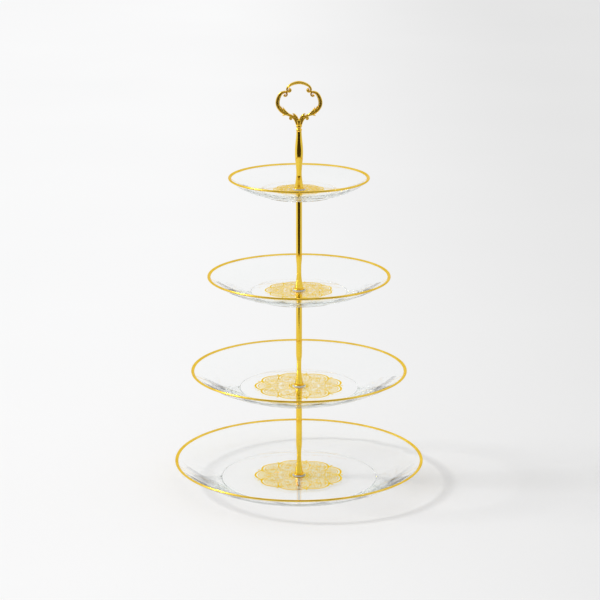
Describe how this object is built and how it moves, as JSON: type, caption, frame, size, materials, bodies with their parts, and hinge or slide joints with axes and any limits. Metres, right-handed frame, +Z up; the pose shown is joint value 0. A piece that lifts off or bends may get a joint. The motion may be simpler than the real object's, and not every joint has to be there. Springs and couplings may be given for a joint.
{
  "type": "tiered cake stand",
  "caption": "Tiered cake stand: flared clear glass plates with gold rims and gold lace prints, clamped on a screwed gold column with a scrolled ring handle.",
  "frame": {"origin": "centre of the bottom plate's base, on the table", "axes": "+Z up the column; the handle ring lies in the XZ plane, so its face looks along -Y"},
  "size_m": [0.3032, 0.3032, 0.4938],
  "materials": {
    "glass": "clear pressed soda glass, fire polished",
    "rim_gold": "bright fired gold, slightly brushed on by hand",
    "print_gold": "matt to satin fired gold print",
    "silicone": "clear silicone",
    "seal_rubber": "matt black rubber",
    "column_gold": "polished gold plate on turned brass",
    "handle_gold": "antiqued gold plate on a casting, dark in the grooves",
    "steel": "bright zinc-plated steel"
  },
  "bodies": {
    "base": {"plate_bottom": "glass", "rim_gilding_bottom": "rim_gold", "medallion_bottom": "print_gold", "gasket_bottom": "silicone", "base_screw": "steel", "screw_seal": "seal_rubber"},
    "cup_1": {"cup_washer_bottom": "column_gold"},
    "column_1": {"rod_lower": "column_gold", "stud_lower": "steel", "support_seal_lower": "silicone"},
    "dish_lower": {"plate_lower": "glass", "rim_gilding_lower": "rim_gold", "medallion_lower": "print_gold", "gasket_lower": "silicone"},
    "cup_2": {"cup_washer_lower": "column_gold"},
    "column_2": {"rod_middle": "column_gold", "stud_middle": "steel", "support_seal_upper": "silicone"},
    "dish_upper": {"plate_upper": "glass", "rim_gilding_upper": "rim_gold", "medallion_upper": "print_gold", "gasket_upper": "silicone"},
    "cup_3": {"cup_washer_upper": "column_gold"},
    "column_3": {"rod_upper": "column_gold", "stud_upper": "steel", "support_seal_top": "silicone"},
    "dish_top": {"plate_top": "glass", "rim_gilding_top": "rim_gold", "medallion_top": "print_gold", "gasket_top": "silicone"},
    "cup_4": {"cup_washer_top": "column_gold"},
    "handle": {"handle_grip": "handle_gold", "handle_ring": "handle_gold"}
  },
  "joints": [
    {"name": "lift_1", "type": "slide", "parent": "base", "child": "cup_1", "axis": [0, 0, 1], "range_m": [0, 0.0077]},
    {"name": "unscrew_1", "type": "hinge", "parent": "cup_1", "child": "column_1", "pos_m": [0, 0, 0.007], "axis": [0, 0, 1], "range_deg": [0, 3960.5]},
    {"name": "lift_2", "type": "slide", "parent": "column_1", "child": "cup_2", "axis": [0, 0, 1], "range_m": [0, 0.0077]},
    {"name": "unscrew_2", "type": "hinge", "parent": "cup_2", "child": "column_2", "pos_m": [0, 0, 0.1217], "axis": [0, 0, 1], "range_deg": [0, 3960.5]},
    {"name": "lift_3", "type": "slide", "parent": "column_2", "child": "cup_3", "axis": [0, 0, 1], "range_m": [0, 0.0077]},
    {"name": "unscrew_3", "type": "hinge", "parent": "cup_3", "child": "column_3", "pos_m": [0, 0, 0.2418], "axis": [0, 0, 1], "range_deg": [0, 3960.5]},
    {"name": "lift_4", "type": "slide", "parent": "column_3", "child": "cup_4", "axis": [0, 0, 1], "range_m": [0, 0.0077]},
    {"name": "unscrew_4", "type": "hinge", "parent": "cup_4", "child": "handle", "pos_m": [0, 0, 0.3652], "axis": [0, 0, 1], "range_deg": [0, 3960.5]},
    {"name": "swivel_lower", "type": "hinge", "parent": "column_1", "child": "dish_lower", "pos_m": [0, 0, 0.1175], "axis": [0, 0, 1], "continuous": true},
    {"name": "swivel_upper", "type": "hinge", "parent": "column_2", "child": "dish_upper", "pos_m": [0, 0, 0.2376], "axis": [0, 0, 1], "continuous": true},
    {"name": "swivel_top", "type": "hinge", "parent": "column_3", "child": "dish_top", "pos_m": [0, 0, 0.361], "axis": [0, 0, 1], "continuous": true}
  ],
  "couplings": [
    {"joint": "unscrew_1", "follows": "lift_1", "rad_per_m": 8976},
    {"joint": "unscrew_2", "follows": "lift_2", "rad_per_m": 8976},
    {"joint": "unscrew_3", "follows": "lift_3", "rad_per_m": 8976},
    {"joint": "unscrew_4", "follows": "lift_4", "rad_per_m": 8976}
  ]
}
